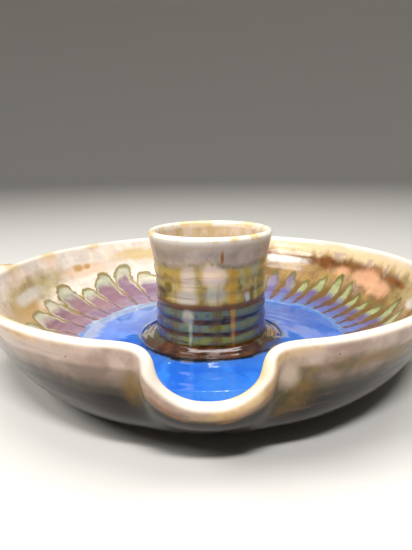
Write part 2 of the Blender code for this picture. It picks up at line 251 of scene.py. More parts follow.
def wheelTree():  # turns an outline of radius and height once round the axis
    bench, given = nodeTree("wheel", [("Columns", "Int"), ("Rows", "Int"), ("Material", "Material")])
    grid = bench.add("GeometryNodeMeshGrid", None,
        {"Size X": 1.0, "Size Y": 1.0, "Vertices X": given.part("Rows"),
        "Vertices Y": given.part("Columns")})
    place = bench.add("GeometryNodeInputPosition")
    x = bench.add("ShaderNodeSeparateXYZ", None, {0: place})
    row = bench.maths("ROUND", (x + 0.5) * (given.part("Rows") - 1.0))
    turn = (x.part("Y") + 0.5) * tau
    outline = bench.add("GeometryNodeSampleIndex", {"data_type": "FLOAT_VECTOR", "domain": "POINT"},
        {"Geometry": given.part("Geometry"), "Value": place, "Index": row})
    out = bench.add("ShaderNodeSeparateXYZ", None, {0: outline})
    turned = bench.vector(out * bench.maths("SINE", turn), -out * bench.maths("COSINE", turn),
        out.part("Z"))
    kept = grid
    for name in ("fromCrown", "wheelMarks"):
        reading = bench.add("GeometryNodeInputNamedAttribute", {"data_type": "FLOAT"}, {"Name": name})
        value = bench.add("GeometryNodeSampleIndex", {"data_type": "FLOAT", "domain": "POINT"},
            {"Geometry": given.part("Geometry"), "Value": reading, "Index": row})
        kept = bench.add("GeometryNodeStoreNamedAttribute", {"data_type": "FLOAT", "domain": "POINT"},
            {"Geometry": kept, "Name": name, "Value": value})
    shaped = bench.add("GeometryNodeSetPosition", None, {"Geometry": kept, "Position": turned})
    closed = bench.add("GeometryNodeMergeByDistance", None, {"Geometry": shaped, "Distance": 1e-6})
    finishTree(bench, given, closed)
    return bench.tree


def applyTrees(piece, *steps):  # runs the trees and keeps the result as a plain mesh
    for tree, values in steps:
        modifier = piece.modifiers.new(tree.name, "NODES")
        modifier.node_group = tree
        for socket in tree.interface.items_tree:
            if socket.item_type == "SOCKET" and socket.in_out == "INPUT" and socket.name in values:
                modifier[socket.identifier] = values[socket.name]
    bpy.context.view_layer.update()
    graph = bpy.context.evaluated_depsgraph_get()
    made = bpy.data.meshes.new_from_object(piece.evaluated_get(graph), preserve_all_data_layers=True,
        depsgraph=graph)
    name = piece.name
    old = piece.data
    bpy.data.objects.remove(piece)
    bpy.data.meshes.remove(old)
    made.name = name
    result = bpy.data.objects.new(name, made)
    bpy.context.scene.collection.objects.link(result)
    return result


rings, wheel = ringTree(), wheelTree()


# outline: radius and height from the bottom's or the inside's axis round to the other end
def turnPiece(name, outline, marks, crown, material, columns, ringValues):
    points = np.array([(r, 0.0, z) for r, z in outline])
    steps = np.linalg.norm(np.diff(points, axis=0), axis=1)
    along = np.concatenate(([0.0], np.cumsum(steps)))
    piece = meshOf(name, points, [], {"fromCrown": along - along[crown], "wheelMarks": marks})
    turned = {"Columns": columns + 1, "Rows": len(points), "Material": material}
    return applyTrees(piece, (wheel, turned), (rings, {**ringValues, "Material": material}))


def settle(piece, node):
    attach(piece, "root")
    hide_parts(node)


bowl = {  # thrown wall, floor and pouring lip
    "radius": 0.13996, "height": 0.0585, "rimThickness": 0.0062, "floorThickness": 0.0062,
    "cornerExtra": 0.0034, "cornerReach": 0.024, "cornerShare": 0.35,   # clay left inside the turn
    "baseRadius": 0.086, "fullness": 3.1,
    "footHeight": 0.0055, "gap": 0.0003,
    "notchDepth": 0.0260, "notchHalfWidth": 0.0200, "notchSquareness": 2.7,
    "flankOffset": 0.0252, "flankGather": 0.78, "flankReach": 0.0125,
    "lipThickness": 0.0084, "lipSwellStart": 0.4,          # starts are rows: 0 the floor's edge, 1 the rim
    "lipFlare": 0.00335, "lipFlareWidth": 0.028, "lipFlareStart": 0.7,
    "bellyBulge": 0.008, "bellySpread": 0.62, "shoulderPinch": 0.0022, "shoulderWidth": 0.011,
    "lipDegrees": 27, "columnsInLip": 124, "columnsBeyond": 356,
    "rowsInside": 84, "rowsOutside": 76, "rowsOverRim": 15,
    "rings": {"Ring Spacing": 0.0062, "Ring Depth": 0.00007, "Waver": 1.2, "Lump Size": 0.045,
        "Lump Depth": 0.0009, "Seed": 4},
}
bowl["underside"] = bowl["footHeight"] + bowl["gap"]
bowl["floorMiddle"] = bowl["underside"] + bowl["floorThickness"] / 2
bowl["floorTop"] = bowl["underside"] + bowl["floorThickness"]
bowl["rimMiddle"] = bowl["height"] - bowl["rimThickness"] / 2
bowl["wallRun"] = bowl["radius"] - bowl["rimThickness"] / 2 - bowl["baseRadius"]


def notchAt(angle):
    return 0.5 ** ((bowl["radius"] * np.abs(angle) / bowl["notchHalfWidth"]) ** bowl["notchSquareness"])


def wallPush(angle, rise, along):
    belly = bowl["bellyBulge"] * np.exp(-((angle / bowl["bellySpread"]) ** 2)) * 4 * rise * (1 - rise)
    beside = ((bowl["radius"] * np.abs(angle) - bowl["flankOffset"] - bowl["shoulderWidth"])
        / bowl["shoulderWidth"])
    pinch = bowl["shoulderPinch"] * np.exp(-beside * beside) * rise * rise
    rolled = np.exp(-((bowl["radius"] * angle / bowl["lipFlareWidth"]) ** 4))
    rolling = smooth((along - bowl["lipFlareStart"]) / (1 - bowl["lipFlareStart"]))
    return belly - pinch + bowl["lipFlare"] * rolled * rolling


def wallMiddle(angle, row):  # midway through the clay; row -1 is the axis, 0 the floor's edge, 1 the rim
    climb = np.maximum(row, 0.0)
    whole = bowl["rimMiddle"] - bowl["floorMiddle"]
    top = whole - bowl["notchDepth"] * notchAt(angle)
    rise = (top / whole) ** (1 / bowl["fullness"]) * climb
    radius = (bowl["baseRadius"] * (1 + np.minimum(row, 0.0)) + bowl["wallRun"] * rise
        + wallPush(angle, rise, climb))
    gathered = 0.0
    for side in (-1, 1):
        beyond = bowl["radius"] * angle - side * bowl["flankOffset"]
        gathered = gathered - bowl["flankGather"] * beyond * np.exp(-((beyond / bowl["flankReach"]) ** 2))
    drawn = angle + gathered / bowl["radius"] * climb * climb
    return np.stack((np.sin(drawn) * radius, -np.cos(drawn) * radius,
        bowl["floorMiddle"] + whole * rise ** bowl["fullness"]), -1)


def wallFrame(angle, row):
    angle, row = np.broadcast_arrays(np.asarray(angle, float), np.asarray(row, float))
    step = 1e-4
    middle = wallMiddle(angle, row)
    up = wallMiddle(angle, row + step) - wallMiddle(angle, row - step)
    roundAbout = wallMiddle(angle + step, row) - wallMiddle(angle - step, row)
    normal = np.cross(roundAbout, up)
    normal /= np.linalg.norm(normal, axis=-1, keepdims=True) + 1e-18
    normal *= np.where(normal[..., 2:] < 0, -1, 1)
    normal = np.where(row[..., None] <= 0, (0.0, 0.0, 1.0), normal)
    share = (up * roundAbout).sum(-1, keepdims=True) / ((roundAbout ** 2).sum(-1, keepdims=True) + 1e-18)
    outward = up - roundAbout * share
    return middle, normal, outward / (np.linalg.norm(outward, axis=-1, keepdims=True) + 1e-18)


def halfThickness(angle, row):
    swell = smooth((row - bowl["lipSwellStart"]) / (1 - bowl["lipSwellStart"]))
    rim = blend(bowl["rimThickness"], bowl["lipThickness"], notchAt(angle) * swell)
    return blend(bowl["floorThickness"], rim, smooth(row)) / 2


def innerSkin(angle, row):
    middle, normal, _ = wallFrame(angle, row)
    radius = np.hypot(middle[..., 0], middle[..., 1])
    corner = bowl["baseRadius"] + bowl["cornerShare"] * bowl["wallRun"]
    extra = (bowl["cornerExtra"] * np.exp(-(((radius - corner) / bowl["cornerReach"]) ** 2))
        * smooth((1 - row) * 2))
    return middle + normal * (halfThickness(angle, row) + extra)[..., None]


def outerSkin(angle, row):
    middle, normal, _ = wallFrame(angle, row)
    return middle - normal * halfThickness(angle, row)[..., None]


def wallAngles(columnsInLip, columnsBeyond):  # closer together round the lip
    lip = math.radians(bowl["lipDegrees"])
    near = np.linspace(-lip, lip, columnsInLip, endpoint=False)
    far = np.linspace(lip, tau - lip, columnsBeyond, endpoint=False)
    angles = np.concatenate((near, far))
    return np.where(angles > math.pi, angles - tau, angles)


def throwBowl(material):
    angle = wallAngles(bowl["columnsInLip"], bowl["columnsBeyond"])[:, None]
    inside = np.concatenate(
        (np.linspace(-0.9, 0.0, 10, endpoint=False), np.linspace(0.0, 1.0, bowl["rowsInside"])))[None, :]
    outside = np.concatenate(
        (np.linspace(1.0, 0.0, bowl["rowsOutside"]), np.linspace(0.0, -0.9, 6)[1:]))[None, :]
    middle, normal, outward = wallFrame(angle, np.ones((1, 1)))
    turn = np.radians(np.linspace(180, 0, bowl["rowsOverRim"]))[None, 1:-1, None]
    over = middle + (outward * np.sin(turn) - normal * np.cos(turn)) * halfThickness(angle, 1.0)[..., None]
    skin = np.concatenate((innerSkin(angle, inside), over, outerSkin(angle, outside)), 1)
    columns, rows = skin.shape[:2]
    crown = inside.shape[1] + over.shape[1] // 2
    along = np.concatenate((np.zeros((columns, 1)),
        np.cumsum(np.linalg.norm(np.diff(skin, axis=1), axis=2), 1)), 1)
    fromCrown = along - along[:, crown:crown + 1]
    radius = np.hypot(skin[..., 0], skin[..., 1])
    awayFromLip = 1 - np.exp(-((angle / 0.55) ** 6))
    marks = smooth((np.abs(fromCrown) - 0.004) / 0.012) * smooth((radius - 0.080) / 0.012) * awayFromLip
    poles = np.array([(0, 0, bowl["floorTop"]), (0, 0, bowl["underside"])])
    points = np.concatenate((skin.reshape(-1, 3), poles))
    ends = [float(fromCrown[:, 0].mean()), float(fromCrown[:, -1].mean())]
    piece = meshOf("bowl_thrown", points, columnsToFaces(columns, rows),
        {"fromCrown": np.append(fromCrown.ravel(), ends), "wheelMarks": np.append(marks.ravel(), (0, 0))})
    return applyTrees(piece, (rings, {**bowl["rings"], "Material": material}))


fringe = {  # runs of glaze that creep down the wall to the pool
    "runs": 45, "crowding": 1.63,             # how many, and how much closer they stand on the right
    "foot": 0.1015, "shortest": 0.0420, "spread": 0.022,   # climb of the lowest ends, and lengths above it
    "poolEdge": 0.0845, "poolAtLip": 0.022,
}


def glazeBowl():
    g = Glaze("bowl_glaze")
    crown = g.add("ShaderNodeAttribute", {"attribute_name": "fromCrown"}, None, "Fac")
    side = g.x / (g.radius + 1e-5)          # -1 on the left, 1 on the right
    back = g.y / (g.radius + 1e-5)          # -1 at the lip, 1 at the back
    right = side.ease(-0.35, 0.35)
    clouds = g.noise(g.place, 21.0, 4.0, 0.55)
    mottle = g.noise(g.place, 60.0, 4.0, 0.6)
    streaks = g.comb + 0.5
    lines = g.noise(g.vector(g.x * 0.12, g.y * 0.12, crown * 2.2), 130.0, 3.0, 0.6)

    # wall above the runs
    cream = g.mix(tint("f2e6d4"), tint("e0d0bf"), mottle.ease(0.42, 0.62))
    cream = g.mix(cream, tint("efc9aa"), clouds.ease(0.5, 0.68) * 0.7)
    cream = g.mix(cream, tint("c8b48a"), (streaks * 0.6 + clouds * 0.4).ease(0.56, 0.66) * 0.35)
    tan = g.mix(tint("9c7a40"), tint("e6cb9a"), (streaks + (g.z - 0.047) * 34.0).ease(0.36, 0.66))
    tan = g.mix(tan, tint("a58a86"),
        (streaks * 0.5 + clouds * 0.5 + g.grain * 0.2).ease(0.50, 0.58) * g.z.ease(0.053, 0.050) * 0.7)
    tan = g.mix(tan, tint("745426"), (clouds + g.grain * 0.3).ease(0.42, 0.58) * g.z.ease(0.050, 0.043))
    ground = g.mix(cream, tan, right * g.z.ease(0.060, 0.052) * 0.95)
    ochre, peach, grey = tint("c0933f"), tint("dfa981"), tint("ddd3c6")
    olive = g.mix(tint("b39f63"), tint("98804a"), mottle.ease(0.42, 0.6))
    brown = g.mix(tint("8a4d1c"), tint("5f3513"), mottle.ease(0.42, 0.6))
    for degrees, height, halfDegrees, halfHeight, colour in (
            (-97, 0.040, 19, 0.0085, olive), (-86, 0.031, 12, 0.011, tint("b5924f")),
            (-95, 0.0375, 9, 0.0040, grey),
            (-129, 0.0405, 11, 0.0050, tint("ecc8aa")), (-124, 0.0430, 2.0, 0.0030, ochre),
            # the pale ochre patch at -150 degrees is ochre glaze with a painted sheen on it, the reflection
            # of a light
            (-128, 0.0428, 1.5, 0.0022, ochre), (-150, 0.0465, 12, 0.0045, tint("d9bb7e")),
            # the pale grey patch at 148 degrees is a painted sheen, the reflection of a window on the
            # inside wall
            (132, 0.0425, 30, 0.0050, brown), (148, 0.0410, 9, 0.0032, grey), (90, 0.039, 9, 0.0110, olive),
            (104, 0.0360, 6, 0.0060, peach), (114, 0.0380, 7, 0.0060, peach),
            (125, 0.0380, 5, 0.0050, peach), (97, 0.0425, 8, 0.0030, brown), (84, 0.0375, 4, 0.0040, grey),
            (60, 0.040, 16, 0.0070, ochre), (-60, 0.042, 14, 0.0060, peach),
            (176, 0.042, 12, 0.0050, olive)):
        ground = g.mix(ground, colour, g.patch(degrees, height, halfDegrees, halfHeight, 1.0, 0.45,
            1.6 if degrees > 80 else 0.5) * 0.8)

    # the runs
    count = g.angle * (fringe["runs"] / tau) + back * fringe["crowding"] + g.drift * 1.3 + g.grain * 0.07
    run = g.maths("FLOOR", count)
    luck, other = g.chance(run, 3.0), g.chance(run, 11.0)
    across = abs((count - run) * 2.0 - 1.0)
    length = fringe["shortest"] + luck * fringe["spread"]
    rise = (g.climb + g.grain * 0.0014 - fringe["foot"]) / length
    above = rise.sum("MAXIMUM", 0.0)
    slim = 1.0 - right * 0.36 * (1.0 - above)
    arch = ((across / ((0.92 - right * 0.17 + other * 0.12) * slim)) ** (2.8 - right * 1.2)
        + above ** (5.0 - right * 1.6))
    body = g.mix(tint("86656e"), tint("565b92"),
        (right * 0.7 + rise.ease(0.45, 0.0) * 0.35 + back.ease(0.55, 1.0) * 0.25).sum("MINIMUM", 1.0))
    body = g.mix(body, g.mix(tint("96777c"), tint("6a4f66"), right), mottle.ease(0.42, 0.62) * 0.6)
    body = g.mix(body, tint("5a78bd"), right * rise.ease(0.42, 0.05) * 0.75)
    tips = g.mix(g.mix(tint("cdc4ab"), tint("b3b79c"), mottle.ease(0.42, 0.6)),
        g.mix(tint("a3a477"), tint("8f9263"), mottle.ease(0.4, 0.6)), right)
    tips = g.mix(tips, tint("6f5a80"), right * back.ease(0.74, 0.84) * 0.9)
    inner = g.mix(body, tips,
        (rise + g.drift * 0.6 + g.grain * 0.2).ease(0.58 - right * 0.10, 0.90 - right * 0.20))
    inner = g.mix(inner, tips, arch.ease(0.30, 0.62) * rise.ease(0.25, 0.6) * (1.0 - right) * 0.7)
    rib = g.mix(g.mix(tint("654c3c"), tint("553d43"), right), g.mix(tint("8d7444"), tint("70552f"), right),
        rise.ease(0.12, 0.55))
    outline = g.mix(rib, g.mix(tint("8f7c4c"), tint("6f6434"), right), rise.ease(0.3, 0.8))
    between = g.mix(rib, ground, (rise + luck * 0.2).ease(0.74, 1.02))
    runs = g.mix(inner, outline, arch.ease(0.62, 0.88) * (0.75 + other * 0.25))
    runs = g.mix(runs, between, arch.ease(1.02, 1.22))
    drop = ((1.0 - across) / 0.30) ** 2.0 + ((rise - 0.10).sum("MINIMUM", 0.0) / 0.11) ** 2.0
    halo = drop.ease(0.8, 1.2) * drop.ease(2.6, 1.7) * rise.ease(0.34, 0.16)
    runs = g.mix(runs, g.mix(tint("8b97a8"), tint("5f8fd2"), right), halo * (0.25 + right * 0.6))
    wall = g.mix(runs, ground, (rise + g.grain * 0.1).ease(1.0, 1.1))

    # the pool creeps past its glass, furthest under the lip
    edge = (g.radius + g.drift * 0.012 + (streaks - 0.5) * 0.010
        - back.ease(-0.80, -0.97) * fringe["poolAtLip"] - right * 0.0025)
    blue = g.mix(tint("2266c4"), tint("3c78cc"), clouds.ease(0.4, 0.65))
    wisps = g.mix(tint("4f7fc0"), tint("a9bcc0"), lines.ease(0.42, 0.60) * (1.0 - right * 0.6))
    wall = g.mix(wisps, wall, edge.ease(fringe["poolEdge"] + 0.0005, fringe["poolEdge"] + 0.0050))
    wall = g.mix(blue, wall, edge.ease(fringe["poolEdge"] - 0.004, fringe["poolEdge"] + 0.0010))

    # outside: the colours darken down the wall, partly the glaze's own grey and brown and partly painted
    # shade, as the light falls from above
    pale = g.mix(tint("b7a193"), tint("9a8173"), mottle.ease(0.4, 0.62))
    greyPink = g.mix(tint("8d786a"), tint("78665b"), mottle.ease(0.42, 0.6))
    greyGreen = g.mix(tint("4c4036"), tint("444030"), clouds.ease(0.42, 0.6))
    # near black at the foot of the wall: brown glaze with painted shade on it
    brownGlazeAndShade = g.mix(tint("0f0907"), tint("211612"), lines.ease(0.4, 0.62))
    shadeHeight = (g.z + g.drift * 0.012 + (streaks - 0.5) * 0.008 + (lines - 0.5) * 0.005
        + crown.ease(0.0150, 0.0040) * 0.020)
    outer = g.mix(pale, greyPink, shadeHeight.ease(0.0550, 0.0465))
    outer = g.mix(outer, greyGreen, shadeHeight.ease(0.0450, 0.0370))
    outer = g.mix(outer, brownGlazeAndShade, shadeHeight.ease(0.0390, 0.0310))
    band = g.mix(tint("755820"), tint("4c401c"), mottle.ease(0.40, 0.62))
    for degrees, height, halfDegrees, halfHeight, colour in (
            # the tall narrow olive strips at 14 and -12.5 degrees, beside the lip's flanks, are olive glaze
            # with painted shade of the fold where the wall turns into the lip
            (14, 0.0385, 5.0, 0.0120, band), (27, 0.0465, 13, 0.0042, band), (40, 0.0445, 9, 0.0036, band),
            (13.6, 0.0445, 2.0, 0.0060, tint("bfaa98")),
            (-12.5, 0.0380, 2.6, 0.0085, band), (-64, 0.044, 13, 0.0045, band),
            (-105, 0.038, 12, 0.0070, band), (76, 0.040, 12, 0.0060, band),
            (124, 0.044, 11, 0.0055, band), (-150, 0.041, 13, 0.0065, band),
            (165, 0.037, 12, 0.0075, band)):
        outer = g.mix(outer, colour, g.patch(degrees, height, halfDegrees, halfHeight, 0.9, 0.6) * 0.85)
    outer = g.mix(outer, tint("6d5140"), lines.ease(0.58, 0.70) * 0.4)
    outer = g.mix(outer, tint("3d2b20"), g.specks(190.0, 0.11, 0.24) * 0.8)
    bare = g.mix(tint("8a6a50"), tint("a58466"), g.grain.ease(-0.1, 0.15))
    outer = g.mix(bare, outer, g.radius.ease(0.0835, 0.0845))

    # rim, where the glaze thins
    colour = g.mix(wall, outer, crown.ease(-0.0005, 0.0035))
    shoulder = abs(crown + g.drift * 0.003)
    gilt = g.mix(tint("e0b962"), tint("b98a44"), mottle.ease(0.45, 0.65))
    colour = g.mix(colour, gilt,
        shoulder.ease(0.0085, 0.0050) * (clouds + g.grain * 0.2).ease(0.50, 0.64) * 0.35)
    rimColour = g.mix(tint("e6dacb"), tint("d8b678"),
        (clouds + g.drift * 0.3).ease(0.52, 0.66) * crown.ease(0.002, -0.002) * 0.75)
    colour = g.mix(colour, rimColour, shoulder.ease(0.0062, 0.0034) * crown.ease(0.0042, 0.0014))
    # a brown line just under the lip's edge: the glaze's brown edge, darkened with painted shade under the
    # lip's overhang
    colour = g.mix(colour, tint("8f5f38"),
        abs(crown - 0.0080 + g.drift * 0.005).ease(0.0022, 0.0004) * g.z.ease(0.046, 0.040)
        * mottle.ease(0.36, 0.56) * 0.6)
    colour = g.mix(colour, tint("7d5a34"), g.specks(150.0, 0.075, 0.12) * 0.7)
    glossy = edge.ease(fringe["poolEdge"], fringe["poolEdge"] + 0.006)
    roughness = 0.10 + glossy * 0.10 + (mottle - 0.5) * 0.12
    roughness = roughness + g.radius.ease(0.0845, 0.0835) * crown.ease(0.0, 0.01) * 0.6
    relief = (g.grain * 0.00006 + mottle * 0.00022 + arch.ease(0.5, 0.9) * arch.ease(1.4, 1.0)
        * rise.ease(1.1, 0.9) * crown.ease(0.0, -0.01) * 0.00020)
    shine = 0.06 + g.z.ease(0.034, 0.052) * 0.26 + crown.ease(0.004, -0.002) * 0.20
    return g.fire(colour, roughness, relief,
        {**glassy, "Specular IOR Level": 0.20, "Coat Weight": shine, "bump": 0.7})


foot = {  # turned from the same clay, left bare
    "radius": 0.081, "width": 0.010, "height": 0.0055, "edge": 0.0014, "columns": 240,
    "rings": {"Ring Spacing": 0.0019, "Ring Depth": 0.00006, "Waver": 0.3, "Lump Size": 0.02,
        "Lump Depth": 0.0, "Seed": 6},
}


def footOutline():
    inside, outside, edge = foot["radius"] - foot["width"], foot["radius"], foot["edge"]
    outline = ([(inside, foot["height"])]
        + [(blend(inside, outside, i / 6), foot["height"]) for i in range(1, 6)]
        + [(outside, foot["height"])])
    outline += [(outside, blend(foot["height"], edge, i / 6)) for i in range(1, 6)]
    outline += [(outside - edge * (1 - math.cos(t)), edge * (1 - math.sin(t)))
        for t in np.radians(np.linspace(0, 90, 7))]
    outline += [(blend(outside - edge, inside + edge, i / 6), 0.0) for i in range(1, 6)]
    outline += [(inside + edge * (1 - math.sin(t)), edge * (1 - math.cos(t)))
        for t in np.radians(np.linspace(0, 90, 7))]
    outline += [(inside, blend(edge, foot["height"], i / 4)) for i in range(1, 4)]
    return outline[::-1] + [outline[-1]]


def glazeFoot():
    g = Glaze("bare_stoneware")
    scratches = g.noise(g.vector(g.radius * 3.0, g.z * 3.0, g.angle * 0.01), 220.0, 4.0, 0.7)
    colour = g.mix(tint("8f6d52"), tint("b08c6b"), scratches.ease(0.35, 0.65))
    colour = g.mix(colour, tint("6b4a36"), g.noise(g.place, 50.0, 3.0).ease(0.52, 0.7) * 0.7)
    colour = g.mix(colour, tint("3d2a20"), g.specks(420.0, 0.22, 0.25))
    colour = g.mix(colour, tint("d2bfa4"), g.specks(330.0, 0.16, 0.18) * 0.7)
    return g.fire(colour, 0.72 + g.grain * 0.2, scratches * 0.00025 + g.grain * 0.0002,
        {"IOR": 1.45, "bump": 0.8})


cup = {  # the dip cup, luted to the floor
    "rimRadius": 0.0402, "waistRadius": 0.0352, "baseRadius": 0.0364, "top": 0.0845, "wall": 0.0046,
    "floor": 0.0060, "corner": 0.0070, "waistShare": 0.42, "flare": 2.2,
    "columns": 288, "sideRows": 110, "insideRows": 70,
    "rings": {"Ring Spacing": 0.0080, "Ring Depth": 0.00034, "Waver": 0.5, "Lump Size": 0.03,
        "Lump Depth": 0.0004, "Seed": 9},
}
cup["bottom"] = bowl["floorTop"] + bowl["gap"]
cup["floorTop"] = cup["bottom"] + cup["floor"]


def cupRadius(height):
    share = (height - cup["bottom"]) / (cup["top"] - cup["bottom"])
    below = blend(cup["waistRadius"], cup["baseRadius"], np.clip(1 - share / cup["waistShare"], 0, 1) ** 2)
    above = blend(cup["waistRadius"], cup["rimRadius"],
        np.clip((share - cup["waistShare"]) / (1 - cup["waistShare"]), 0, 1) ** cup["flare"])
    return np.where(share < cup["waistShare"], below, above)


def raiseCup(material):
    rimHeight = cup["top"] - cup["wall"] / 2
    centreHeight = cup["floorTop"] + cup["corner"]
    centreRadius = float(cupRadius(centreHeight)) - cup["wall"] - cup["corner"]
    outline = [(0.0, cup["floorTop"])] + [(centreRadius * i / 6, cup["floorTop"]) for i in range(1, 6)]
    outline += [(centreRadius + cup["corner"] * math.sin(t), centreHeight - cup["corner"] * math.cos(t))
        for t in np.radians(np.linspace(0, 90, 10))]
    outline += [(float(cupRadius(z)) - cup["wall"], z)
        for z in np.linspace(centreHeight, rimHeight, cup["insideRows"])[1:-1]]
    middle = float(cupRadius(rimHeight)) - cup["wall"] / 2
    crown = len(outline) + 8
    outline += [(middle + math.cos(t) * cup["wall"] / 2, rimHeight + math.sin(t) * cup["wall"] / 2)
        for t in np.radians(np.linspace(180, 0, 17))]
    outline += [(float(cupRadius(z)), z)
        for z in np.linspace(rimHeight, cup["bottom"], cup["sideRows"])[1:]]
    outline += ([(cup["baseRadius"] * (1 - i / 5), cup["bottom"]) for i in range(1, 5)]
        + [(0.0, cup["bottom"])])
    radii, heights = np.array(outline).T
    outer = np.arange(len(outline)) > crown
    marks = np.where(outer,
        smooth((cup["top"] - heights - 0.006) / 0.016) * smooth((heights - cup["bottom"]) / 0.002),
        0.3 * smooth((cup["top"] - heights - 0.004) / 0.01)) * smooth((radii - 0.02) / 0.01)
    marks *= np.where(outer, blend(0.45, 1.0, smooth((0.046 - heights) / 0.012)), 1.0)
    return turnPiece("dip_cup_thrown", outline, marks, crown, material, cup["columns"], cup["rings"])


def glazeCup():
    g = Glaze("cup_glaze")
    crown = g.add("ShaderNodeAttribute", {"attribute_name": "fromCrown"}, None, "Fac")
    streaks = g.noise(g.vector(g.x, g.y, g.z * 0.14), 110.0, 3.0, 0.55)
    lines = g.noise(g.vector(g.x * 0.15, g.y * 0.15, g.z * 2.0), 170.0, 3.0, 0.6)
    mottle = g.noise(g.place, 90.0, 4.0, 0.6)
    fine = g.noise(g.vector(g.x, g.y, g.z * 0.4), 130.0, 3.0, 0.6)
    height = g.z + g.drift * 0.0022

    # middle: olive and ochre under runs of cream
    colour = g.mix(tint("b3984e"), tint("735e29"),
        (mottle + abs(g.angle + 0.3) * 0.03 + (0.052 - g.z) * 8.0).ease(0.40, 0.68))
    colour = g.mix(colour, tint("c59a48"), streaks.ease(0.50, 0.68) * 0.8)
    colour = g.mix(colour, tint("a9a67c"), (fine + g.drift * 0.5).ease(0.52, 0.66) * 0.7)
    cream, sage, peach, dusk = tint("d8c3aa"), tint("a3a27f"), tint("f0d3b6"), tint("4a3b16")
    for degrees, level, halfDegrees, halfHeight, shade in (
            (-60, 0.0480, 13, 0.0045, dusk), (-46, 0.0520, 7, 0.0035, tint("6b5a26")),
            # the tall cream patch at -21 degrees and the peach patch at 3 degrees, on the side facing the
            # lip, are painted reflections of window light on the glaze
            (-21, 0.0570, 9.0, 0.0120, cream), (-24, 0.0475, 14, 0.0055, tint("c2b4a2")),
            (3, 0.0605, 12.0, 0.0085, peach), (4, 0.0500, 12, 0.0075, tint("b0aa92")),
            (-23, 0.0375, 7, 0.0045, tint("ab9f92")),
            (22, 0.044, 2.6, 0.024, tint("b98a3c")), (48, 0.0640, 8, 0.0045, sage),
            (60, 0.055, 8, 0.010, tint("8a7a36")), (37, 0.0505, 4, 0.0030, tint("c08648")),
            (39, 0.0470, 2.6, 0.0036, tint("a9b4bc")),
            (95, 0.056, 13, 0.011, cream), (130, 0.052, 12, 0.012, sage), (165, 0.057, 14, 0.011, peach),
            (-160, 0.050, 12, 0.010, cream), (-125, 0.056, 13, 0.011, peach),
            (-90, 0.058, 10, 0.009, sage)):
        colour = g.mix(colour, shade, g.patch(degrees, level, halfDegrees, halfHeight, 0.60, 0.40) * 0.92)
    colour = g.mix(colour, tint("8d6526"), streaks.ease(0.60, 0.74) * 0.45)
    colour = g.mix(colour, tint("6b5726"), lines.ease(0.56, 0.68) * 0.38)

    # below: glass lies in the grooves and breaks brown over the ridges
    groove = g.maths("SINE",
        ((g.z - 0.0392) / cup["rings"]["Ring Spacing"] + g.drift * 0.34 - g.x * 3.0) * tau) * 0.5 + 0.5
    glass = g.mix(tint("54625c"), tint("686c3e"), (mottle + (0.026 - g.z) * 14.0).ease(0.42, 0.58))
    glass = g.mix(glass, tint("3a3f56"), (fine + (lines - 0.5) * 0.5).ease(0.54, 0.64) * 0.8)
    glass = g.mix(glass, tint("2f386a"), (abs(g.x / (g.radius + 1e-5)) + g.drift * 0.5).ease(0.66, 0.92))
    ridge = g.mix(tint("5c3a0c"), tint("2f1d0a"), mottle.ease(0.4, 0.62))
    bands = g.mix(glass, ridge, (groove + (lines - 0.5) * 1.7 + g.drift * 0.5).ease(0.52, 0.84))
    bands = g.mix(bands, tint("40290f"), lines.ease(0.58, 0.66) * 0.75)
    bands = g.mix(bands, tint("59471c"), streaks.ease(0.52, 0.66) * 0.7)
    bands = g.mix(bands, tint("a27738"), g.patch(22, 0.030, 3.0, 0.016, 0.8) * 0.8)
    bands = g.mix(bands, tint("a59b8c"), g.patch(-23, 0.0355, 6.0, 0.0050, 1.0, 0.5) * 0.8)
    bands = g.mix(bands, tint("98a294"), g.patch(-20, 0.027, 1.8, 0.0110, 1.2) * 0.6)
    colour = g.mix(colour, bands, height.ease(0.0445, 0.0405))
    colour = g.mix(colour, tint("6b4408"),
        height.ease(0.0450, 0.0425) * height.ease(0.0392, 0.0412) * (0.55 + mottle * 0.6))

    # above: a thin dry band under the rim, with a scalloped edge
    scallop = (g.maths("SINE", g.angle * 5.0 + g.drift * 7.0 - 1.0) * 0.0012 + g.drift * 0.006
        + (streaks - 0.5) * 0.006 + g.grain * 0.001)
    band = (g.z + scallop).ease(0.0640, 0.0700)
    thin = g.mix(tint("a3917f"), tint("b9a796"), mottle.ease(0.4, 0.62))
    thin = g.mix(thin, tint("c6b49c"), g.z.ease(0.0740, 0.0790) * 0.6)
    colour = g.mix(colour, tint("655a2a"),
        (g.z + scallop).ease(0.0650, 0.0672) * fine.ease(0.46, 0.58) * 0.8)
    colour = g.mix(colour, thin, band)
    colour = g.mix(colour, tint("94602b"), g.patch(11, 0.0735, 1.7, 0.0046, 0.5))
    rimColour = g.mix(tint("f0e8d8"), tint("e0bd74"), (fine + g.drift).ease(0.50, 0.70) * 0.75)
    colour = g.mix(colour, g.mix(tint("efe2cc"), thin, crown.ease(0.003, 0.008)), crown.ease(0.014, 0.006))
    inside = g.mix(tint("cfb9a2"), tint("b89c72"), (streaks + (mottle - 0.5) * 0.8).ease(0.34, 0.74))
    colour = g.mix(inside, colour, crown.ease(-0.004, -0.001))
    colour = g.mix(colour, rimColour, abs(crown + g.drift * 0.002).ease(0.0062, 0.0030))
    colour = g.mix(colour, tint("3c2a14"), g.specks(210.0, 0.09, 0.12) * 0.7)
    relief = g.grain * 0.00005 + mottle * 0.00016
    return g.fire(colour, 0.13 + (mottle - 0.5) * 0.12 + band * 0.12, relief,
        {**glassy, "Coat Weight": 0.25, "bump": 0.7})


collar = {  # coil worked round the cup's base
    "radius": 0.0476, "height": 0.0052, "toe": 0.0014, "crestShare": 0.12, "bite": 0.0006, "columns": 240,
    "rings": {"Ring Spacing": 0.0042, "Ring Depth": 0.00012, "Waver": 0.8, "Lump Size": 0.011,
        "Lump Depth": 0.0011, "Seed": 2},
}


